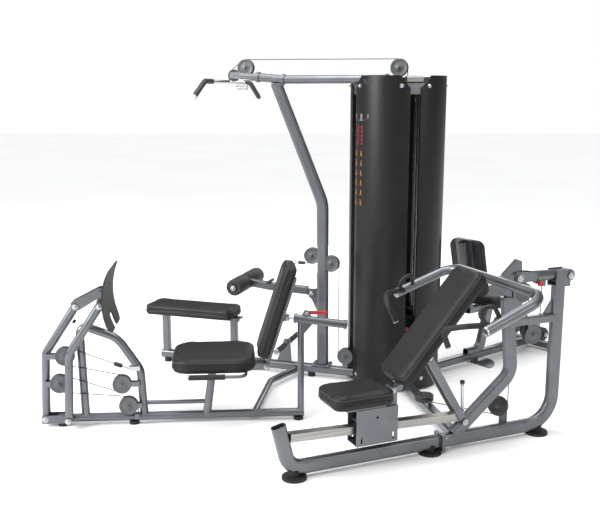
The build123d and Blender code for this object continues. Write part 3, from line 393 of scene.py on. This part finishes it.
def upholster(name, node, number, body, fit, size):
    """A padded piece in its CAD solid's place: fit is the pad's own frame, with
    its sitting side along +Z; size is its length, width, thickness and corner."""
    obj = node_copy(node, number, name)
    inverse = fit.inverted()
    half = Vector(size[:3]) / 2
    remesh = obj.modifiers.new("remesh", "REMESH")
    remesh.mode = "VOXEL"
    remesh.voxel_size = VOXEL
    settle(obj)
    for v in obj.data.vertices:
        p = inverse @ v.co
        p.x *= (half.x - SIDE_ROOM) / half.x
        p.y *= (half.y - SIDE_ROOM) / half.y
        p.z = p.z * (half.z - FACE_ROOM) / half.z + FACE_LIFT
        v.co = fit @ p
    swell(obj, lambda q: (inverse @ q).z < PINNED_DEPTH - half.z)
    for v in obj.data.vertices:
        p = inverse @ v.co
        p.z = min(max(p.z, BOARD_ROOM - half.z), half.z + CROWN_MAX)
        v.co = fit @ p
    smooth = obj.modifiers.new("smooth", "SMOOTH")
    smooth.iterations = 4
    fine = obj.modifiers.new("fine", "SUBSURF")
    fine.levels = fine.render_levels = 1
    settle(obj)
    obj.data.materials.append(MATS["upholstery"])
    obj.data.shade_smooth()
    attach(obj, body)
    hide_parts(node)
    piping(name + "_welt", obj, fit, size, half.z - WELT_DEPTH, body)
    board(name + "_board", fit, size, body)


def pad_fit(station, u, w, tilt):
    """Pad frame: long side along X, sitting side +Z, tilted about v."""
    return station.matrix @ Matrix.Translation((u, 0, w)) @ Matrix.Rotation(radians(tilt), 4, "Y")


def pads():
    """Every pad: its CAD node and solid, its body, its frame and its size."""
    for name, node, number, body, fit, size in (
            ("bench_cushion", "bench_pad", 0, "frame", pad_fit(LAT, 1.612, .419, 0), (.69, .25, .074, .045)),
            ("leg_seat_cushion", "leg_seat_pad", 0, "frame", pad_fit(LEG, .510, .413, 0),
             (.5, .44, .08, .11)),
            ("leg_back_cushion", "leg_back_pad", 0, "leg_rest", pad_fit(LEG, .135, .702, 72.3),
             (.59, .28, .072, .05)),
            ("press_seat_cushion", "press_seat_pad", 0, "carriage", pad_fit(PRESS, .405, .413, 0),
             (.36, .28, .074, .06)),
            ("press_back_cushion", "press_back_pad", 0, "press_rest", pad_fit(PRESS, .867, .7436, -48.7),
             (.74, .27, .074, .055)),
            ("extension_seat_cushion", "extension_pads", 0, "frame", pad_fit(EXTENSION, .650, .483, 0),
             (.42, .36, .07, .07)),
            ("extension_back_cushion", "extension_pads", 1, "frame", pad_fit(EXTENSION, .3403, .7403, 78),
             (.43, .30, .068, .06))):
        upholster(name, node, number, body, fit, size)


def foam_rolls():
    """The leg rolls: foam sleeves with rounded, slightly dished ends."""
    for name, station, at, radius, reach, body, node in (
            ("hold_down_roll", LAT, (1.195, .655), .058, (.027, .229), "hold_down_roller",
             "hold_down_rollers"),
            ("extension_roll", EXTENSION, (.962, .172), .052, (.029, .232), "extension_roller",
             "extension_rollers")):
        for side, label in ((1, "a"), (-1, "b")):
            long = reach[1] - reach[0]
            ends = [(.0105, .004), (.022, .003), (.026, .0015), (radius - .014, .0005), (radius - .006, .002),
                    (radius - .0015, .007), (radius, .015), (radius, .024), (radius - .0012, .026),
                    (radius, .028)]
            ring = ends + [(r, long - h) for r, h in reversed(ends)]
            verts, faces = [], []
            start = station.point(*at, side * reach[0])
            lathe_into(verts, faces, ring, start, station.way(0, 0, side), 48)
            mesh = bpy.data.meshes.new(f"{name}_{label}")
            mesh.from_pydata(verts, [], faces)
            roll = publish(f"{name}_{label}", mesh, body, "foam_sleeve")
            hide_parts(node)


# ------------------------------------------------------------ cables
WHEEL_LINE = .055    # a pulley's radius to the middle of its cable
CABLE_R = .0026
RUN_STEPS = 24
LEG_V = .031         # the leg press cable's plane, out from the station's middle


def touch_points(a, b):
    """A cable's straight run between two wheels (u, w, radius)."""
    du, dw = b[0] - a[0], b[1] - a[1]
    normal = atan2(dw, du) + acos((a[2] - b[2]) / hypot(du, dw))
    nu, nw = cos(normal), sin(normal)
    return (a[0] + a[2] * nu, a[1] + a[2] * nw), (b[0] + b[2] * nu, b[1] + b[2] * nw)


def wrap(hub, start, end, steps=16):
    """The cable's arc round a wheel (u, w, radius), from start to end."""
    first = atan2(start[1] - hub[1], start[0] - hub[0])
    last = atan2(end[1] - hub[1], end[0] - hub[0])
    way = -1 if hub[2] > 0 else 1
    sweep = (way * (last - first)) % (2 * pi)
    reach = abs(hub[2])
    angles = [first + way * sweep * i / steps for i in range(steps + 1)]
    return [(hub[0] + reach * cos(a), hub[1] + reach * sin(a)) for a in angles]


def cable_run(name, station, points, v, bodies, ends=None):
    """A length of cable that rides one body; one that runs between two bodies is left fixed where it lies, on
    neither.
    """
    mesh = tube(name, [station.point(*p, v) for p in points], CABLE_R, 10)
    if len(bodies) == 1:
        return publish(name, mesh, bodies[0], "cable_jacket")
    obj = bpy.data.objects.new(name, mesh)
    bpy.context.scene.collection.objects.link(obj)
    mesh.materials.append(MATS["cable_jacket"])
    mesh.shade_smooth()
    start, end = ends or (points[0], points[-1])
    station.point(*start, v)
    station.point(*end, v)
    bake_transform(obj)
    return obj


def cable_chain(name, station, wheels, carriers, v=0.0):
    """Runs and wraps of one cable; carriers names each wheel's or end's body."""
    runs = [touch_points(a, b) for a, b in zip(wheels, wheels[1:])]
    made = []
    for i, (start, end) in enumerate(runs):
        pair = (carriers[i], carriers[i + 1])
        points = [Vector(start).lerp(Vector(end), k / RUN_STEPS) for k in range(RUN_STEPS + 1)]
        bodies = pair[:1] if pair[0] == pair[1] else pair
        made.append(cable_run(f"{name}_run_{i}", station, points, v, bodies))
    for i, hub in enumerate(wheels[1:-1]):
        arc = wrap(hub, runs[i][1], runs[i + 1][0])
        made.append(cable_run(f"{name}_wrap_{i}", station, arc, v, (carriers[i + 1],)))
    return made


def cables():
    line, stack_top = WHEEL_LINE, .514
    lat = cable_chain("lat_line", LAT, [(.061, stack_top, 0), (.116, 2.133, line), (1.173, 2.142, line),
                                        (1.262, 2.092, .038), (1.300, 2.060, 0)],
                      ["lat_stack", "frame", "frame", "frame", "pulldown_bar"])
    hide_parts("lat_cable")
    leg = cable_chain("leg_line", LEG, [(1.016, .359, 0), (1.388, .444, line), (1.060, .263, -line),
                                        (1.427, .275, line), (1.026, .127, -line), (.971, .073, 0)],
                      ["frame", "leg_outer", "frame", "leg_outer", "frame", "frame"], LEG_V)
    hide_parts("leg_cable")


# ------------------------------------------------------------ metal and rubber details
# each pulley's body, station, hub (u, w) and v
DRUMS = (
    ("frame", LAT, (.116, 2.133), 0), ("frame", LAT, (1.173, 2.142), 0), ("frame", LAT, (.697, .871), 0),
    ("frame", LAT, (.560, .823), 0), ("frame", LAT, (.452, .170), 0),
    ("leg_outer", LEG, (1.388, .444), LEG_V), ("leg_outer", LEG, (1.427, .275), LEG_V),
    ("frame", LEG, (1.060, .263), LEG_V), ("frame", LEG, (1.026, .127), LEG_V),
    ("frame", PRESS, (1.527, .614), 0), ("frame", PRESS, (1.446, .868), 0),
)
# each pivot's body, station, axis (u, w), reach to its face and nut size
PINS = (
    ("leg_outer", LEG, (1.524, .047), .0345, .013), ("leg_carrier", LEG, (1.313, .745), .0400, .013),
    ("leg_rest", LEG, (.195, .350), .0372, .011), ("frame", PRESS, (1.752, .948), .0460, .015),
    ("press_drive_lever", PRESS, (1.402, .960), .0400, .015), ("carriage", PRESS, (.610, .415), .0402, .011),
    ("frame", PRESS, (1.070, .165), .0462, .013), ("press_rest", PRESS, (.827, .569), .0442, .011),
    ("frame", EXTENSION, (.905, .470), .0402, .013), ("hold_down", LAT, (1.195, .655), .2382, .013),
    ("extension_swing_arm", EXTENSION, (.962, .172), .2412, .012), ("frame", LAT, (.700, .605), .0132, .010),
    ("frame", LEG, (-.050, .675), .0132, .008), ("leg_rest", LEG, (.0666, .6489), .0182, .008),
)


COVER_OUT, COVER_HUB, COVER_NUT_R = .0172, .0024, .0095
COVER_FACE = [(.0565, -.0010), (.0565, .0010), (.0550, .0022), (.0500, .0022), (.0485, .0010), (.0200, .0010),
              (.0180, .0026), (.0130, .0026)]
FLOOR_ARM_U, FLOOR_ARM_HUB = 1.386, (1.110, .459)


def drum_covers():
    """Moulded side covers, with a lip and a hub, over the pulleys' cheeks."""
    for body in sorted({d[0] for d in DRUMS}):
        covers, nuts = [], []
        for owner, station, at, v in DRUMS:
            if owner != body:
                continue
            for side in (-1, 1):
                way = station.way(0, 0, side)
                place = station.point(*at, v + side * COVER_OUT)
                covers.append((COVER_FACE, place, way))
                nuts += cap_nut(place + way * COVER_HUB, way, COVER_NUT_R)
        lathes(f"{body}_pulley_covers", covers, body, "pulley_grey")
        lathes(f"{body}_pulley_nuts", nuts, body, "bolt_dark")


def floor_drum_covers():
    """The two pulleys on the multi-press base, one upright and one lying."""
    u, v = FLOOR_ARM_HUB
    run = touch_points((FLOOR_ARM_U, 0, 0), (u, v, WHEEL_LINE))
    turn = atan2(run[1][1], run[1][0] - FLOOR_ARM_U)
    low = PRESS.point(FLOOR_ARM_U + WHEEL_LINE * cos(turn), .190, WHEEL_LINE * sin(turn))
    side = PRESS.matrix.to_3x3() @ Vector((-sin(turn), cos(turn), 0))
    covers, nuts = [], []
    for centre, way in ((low, side), (low, -side), (PRESS.point(u, .135, v), Vector((0, 0, 1)))):
        place = centre + way * COVER_OUT
        covers.append((COVER_FACE, place, way))
        nuts += cap_nut(place + way * COVER_HUB, way, COVER_NUT_R)
    lathes("floor_pulley_covers", covers, "frame", "pulley_dark")
    lathes("floor_pulley_nuts", nuts, "frame", "bolt_dark")


def pivot_nuts():
    """A cap nut at each end of every pivot, and on the leg press inner link."""
    groups = {}
    for body, station, at, reach, r in PINS:
        for side in (-1, 1):
            way = station.way(0, 0, side)
            groups.setdefault(body, []).extend(cap_nut(station.point(*at, side * reach), way, r))
    inner_low, inner_high = LEG.point(1.374, .061, .107), LEG.point(1.163, .759, .107)
    groups["frame"] += cap_nut(inner_low, LEG.way(0, 0, 1), .013)
    groups["leg_carrier"] += cap_nut(inner_high, LEG.way(0, 0, 1), .013)
    for body, items in groups.items():
        lathes(f"{body}_pivot_nuts", items, body, "steel")


def grip_ends():
    """Bright end plugs on the grips and dark plugs in open tube ends."""
    bright, dark = [], []
    for side in (-1, 1):
        bright.append(end_cap(LAT.point(.884, .225, side * .2305), LAT.way(0, 0, side), .0195))
        bright.append(end_cap(LEG.point(.6525, .361, side * .238), LEG.way(1, 0), .0165))
        dark.append(end_cap(EXTENSION.point(.690, .510, side * .235), EXTENSION.way(.79, .62), .013))
    lathes("grip_end_plugs", bright, "frame", "chrome")
    lathes("handle_ends", dark, "frame", "rubber")
    arms, plugs, bar = [], [], []
    for side in (-1, 1):
        low, tip, hook = (.790, .700, side * .270), (.885, .815, side * .450), (1.300, 1.9465, side * .5725)
        arms.append(end_cap(PRESS.point(*low), PRESS.way(.048, -.100, -side * .015), .0160))
        plugs.append(end_cap(PRESS.point(*tip), PRESS.way(-.377, -.135, side * .02), .0282, .004))
        bar.append(end_cap(LAT.point(*hook), LAT.way(0, -.103, side * .175), .0178, .010))
    lathes("press_handle_ends", arms, "press_arms", "chrome")
    lathes("press_arm_plugs", plugs, "press_arms", "chrome")
    lathes("pulldown_bar_caps", bar, "pulldown_bar", "cap_white")


def cable_stop():
    """The rubber buffer and its shank on the leg press cable."""
    way = LEG.way(.372, .140)
    at = LEG.point(1.016, .359, LEG_V)
    buffer = [(.006, .040), (.011, .043), (.013, .050), (.013, .084), (.011, .091), (.006, .094)]
    shank = [(.0075, 0), (.0075, .010), (.005, .012), (.005, .042)]
    lathes("leg_line_buffer", [(buffer, at, way)], "frame", "rubber")
    lathes("leg_line_shank", [(shank, at, way)], "frame", "chrome")


def seat_peg():
    """The upright storage peg with its black cap beside the mast's foot."""
    low, high = PRESS.point(1.078, .215), PRESS.point(1.070, .385)
    spots = [low.lerp(high, i / 8) for i in range(9)]
    tube_piece("storage_peg", spots, .010, "frame", "chrome", 20)
    lathes("storage_peg_cap", [end_cap(high, high - low, .0135, .012)], "frame", "rubber")


# ------------------------------------------------------------ tower front
SHROUD_OUT, SHROUD_R = .05437, .26563    # a sheet's centre from the tower's axis, and its radius


def on_shroud(turn, angle, z, lift=.0008):
    """A point on a shroud's face; angle is taken round the sheet's own curve."""
    a, b = radians(turn), radians(turn + angle)
    reach = SHROUD_R + lift
    return Vector((SHROUD_OUT * cos(a) + reach * cos(b), SHROUD_OUT * sin(a) + reach * sin(b), z))


def decal(name, turn, patches, mat):
    """Thin curved patches on a shroud; a patch is a closed outline of (angle, z)."""
    verts, faces = [], []
    for patch in patches:
        first, count = len(verts), len(patch)
        for lift in (.0004, .0012):
            verts += [on_shroud(turn, a, z, lift) for a, z in patch]
        faces.append(tuple(range(first + count, first + 2 * count)))
        faces.append(tuple(reversed(range(first, first + count))))
        for i in range(count):
            j = (i + 1) % count
            faces.append((first + i, first + j, first + j + count, first + i + count))
    mesh = bpy.data.meshes.new(name)
    mesh.from_pydata(verts, [], faces)
    publish(name, mesh, "frame", mat, False)


def ellipse(angle, z, wide, high, steps=10, first=0, sweep=360):
    turns = [radians(first + sweep * i / steps) for i in range(steps + (0 if sweep == 360 else 1))]
    return [(angle + wide * cos(a), z + high * sin(a)) for a in turns]


def bar_patch(a, z, wide, high, lean=0.0):
    return [(a - wide + lean, z + high), (a - wide - lean, z - high), (a + wide - lean, z - high),
            (a + wide + lean, z + high)]


def figure(angle, z, size, pose):
    """A generic exerciser made of a head, a body, two limbs and a bench."""
    lean = (.9, -.9, 0)[pose % 3]
    return [ellipse(angle + lean, z + size * .85, 1.0, size * .16),
            bar_patch(angle, z + size * .25, .8, size * .40, lean * .5),
            bar_patch(angle + 1.3, z - size * .35, .5, size * .35, -lean * .6),
            bar_patch(angle - 1.2, z - size * (.2 + .1 * (pose % 2)), .45, size * .30, lean)]


SHEETS = (60, 150, 240, 330)    # the way each shroud sheet faces, in degrees
FRONT_SHEET = 240


def tower_front():
    """The blank badge, the exercise guide, the lock bar over a patch of painted shade for its recess, and the
    sheets' bolts.
    """
    turn = FRONT_SHEET
    badge = [(-44, 1.842), (-44, 1.815), (-36, 1.800), (-29, 1.795), (-22, 1.800), (-14, 1.815),
             (-14, 1.842), (-29, 1.842)]
    decal("plain_badge", turn, [badge], "label_grey")
    reds = [figure(a, 1.755 - .026 * i, .012, i + k) for k, a in enumerate((-36, -27)) for i in range(5)]
    decal("guide_reds", turn, [p for patches in reds for p in patches], "label_red")
    ambers = [figure(a, 1.585 - .064 * i, .022, i + 2 * k)
              for k, a in enumerate((-41, -28)) for i in range(6)]
    decal("guide_ambers", turn, [p for patches in ambers for p in patches], "label_orange")
    # painted shade: a flat dark half-ellipse for the lock's recess, drawn on the shroud's face
    decal("lock_painted_shade", turn, [ellipse(-18, 2.050, 6, .026, 12, 180, 180)], "lock_shade_paint")
    decal("lock_bar", turn, [[(-24.5, 2.058), (-24.5, 2.049), (-11.5, 2.049), (-11.5, 2.058)]], "chrome")
    bolts = []
    for sheet in SHEETS:
        for angle in (-33, 33):
            way = Vector((cos(radians(sheet + angle)), sin(radians(sheet + angle)), 0))
            for z in (2.018, .085):
                bolts += cap_nut(on_shroud(sheet, angle, z, 0), way, .010)
    lathes("shroud_bolts", bolts, "frame", "chrome")


# ------------------------------------------------------------ second finishes
def finishes():
    """Parts of a CAD node that have another colour than the rest of it."""
    def near(station, at, radius, low, high):
        def rule(p):
            u, w, v = station.inside(p)
            return hypot(u - at[0], w - at[1]) < radius and low < v < high
        return rule
    paint("press_lever", "red_plastic", near(PRESS, (1.540, .918), .016, -.056, -.0265))
    paint("leg_arch", "steel", lambda p: .949 < LEG.inside(p)[0] < 1.016 and .343 < p.z < .374
          and LEG.inside(p)[2] > .027)
    paint("lat_bar", "rubber", lambda p: abs(LAT.inside(p)[2]) > .2848)
    paint("row_cable", "chrome", lambda p: LAT.inside(p)[0] > .797 and p.z > .7)
    paint("row_cable", "rubber", lambda p: .751 < LAT.inside(p)[0] < .799 and p.z > .7
          and abs(LAT.inside(p)[2]) + abs(p.z - .816) > .006)
    paint("tower_frame", "stainless", lambda p: p.z > 2.0345 and .236 < hypot(p.x, p.y) < .298)
    paint("hold_down_arm", "rubber", near(LAT, (1.010, .668), .0104, -.061, .061))


# ------------------------------------------------------------ studio
def hang(light, at, aim):
    lamp = bpy.data.objects.new(light.name, light)
    lamp.location = at
    lamp.rotation_euler = (Vector(aim) - Vector(at)).to_track_quat("-Z", "Y").to_euler()
    bpy.context.scene.collection.objects.link(lamp)


def ground():
    """The floor, which reaches further behind the machine than the view does."""
    mesh = bpy.data.meshes.new("floor")
    mesh.from_pydata([(-30, -12, 0), (30, -12, 0), (30, 40, 0), (-30, 40, 0)], [], [(0, 1, 2, 3)])
    mesh.materials.append(MATS["floor"])
    floor = bpy.data.objects.new("studio_floor", mesh)
    bpy.context.scene.collection.objects.link(floor)


def room():
    """A world that lights softly and looks white."""
    world = bpy.data.worlds.new("studio")
    world.use_nodes = True
    nodes, links = world.node_tree.nodes, world.node_tree.links
    glow = nodes["Background"]
    glow.inputs["Color"].default_value = (.93, .96, 1, 1)
    glow.inputs["Strength"].default_value = .22
    seen = nodes.new("ShaderNodeBackground")
    seen.inputs["Strength"].default_value = 1.0
    seen.inputs["Color"].default_value = (1, 1, 1, 1)
    ray, mix = nodes.new("ShaderNodeLightPath"), nodes.new("ShaderNodeMixShader")
    links.new(ray.outputs["Is Camera Ray"], mix.inputs[0])
    links.new(glow.outputs[0], mix.inputs[1])
    links.new(seen.outputs[0], mix.inputs[2])
    links.new(mix.outputs[0], nodes["World Output"].inputs["Surface"])
    bpy.context.scene.world = world


def lamps():
    for name, at, size, power in (("key", (-6.0, -3.0, 3.2), 2.4, 330), ("fill", (4.5, -4.5, 3.0), 2.0, 48),
                                  ("back", (1.5, 6.0, 3.5), 3.0, 80), ("top", (-.4, -.3, 5.0), 3.0, 120)):
        light = bpy.data.lights.new(name, "AREA")
        light.size = size
        light.energy = power
        hang(light, at, (-.4, -.3, .8))
    for name, at, angle, power in (("sky", (-2, -1.5, 6), 120, 2.3), ("sun", (-5, -4, 7), 30, .8)):
        light = bpy.data.lights.new(name, "SUN")
        light.angle = radians(angle)
        light.energy = power
        light.specular_factor = .25
        hang(light, at, (0, 0, 0))


def viewpoint():
    scene = bpy.context.scene
    lens = bpy.data.cameras.new("camera")
    lens.lens, lens.sensor_width = 50.4, 36
    camera = bpy.data.objects.new("camera", lens)
    camera.location = (-.65, -5.68, 1.95)
    camera.rotation_euler = (radians(78.7), 0, 0)
    scene.collection.objects.link(camera)
    scene.camera = camera
    scene.view_settings.view_transform = "Standard"


for job in (pads, foam_rolls, cables, drum_covers, floor_drum_covers, pivot_nuts, grip_ends, cable_stop,
            seat_peg, tower_front, finishes, ground, room, lamps, viewpoint):
    job()
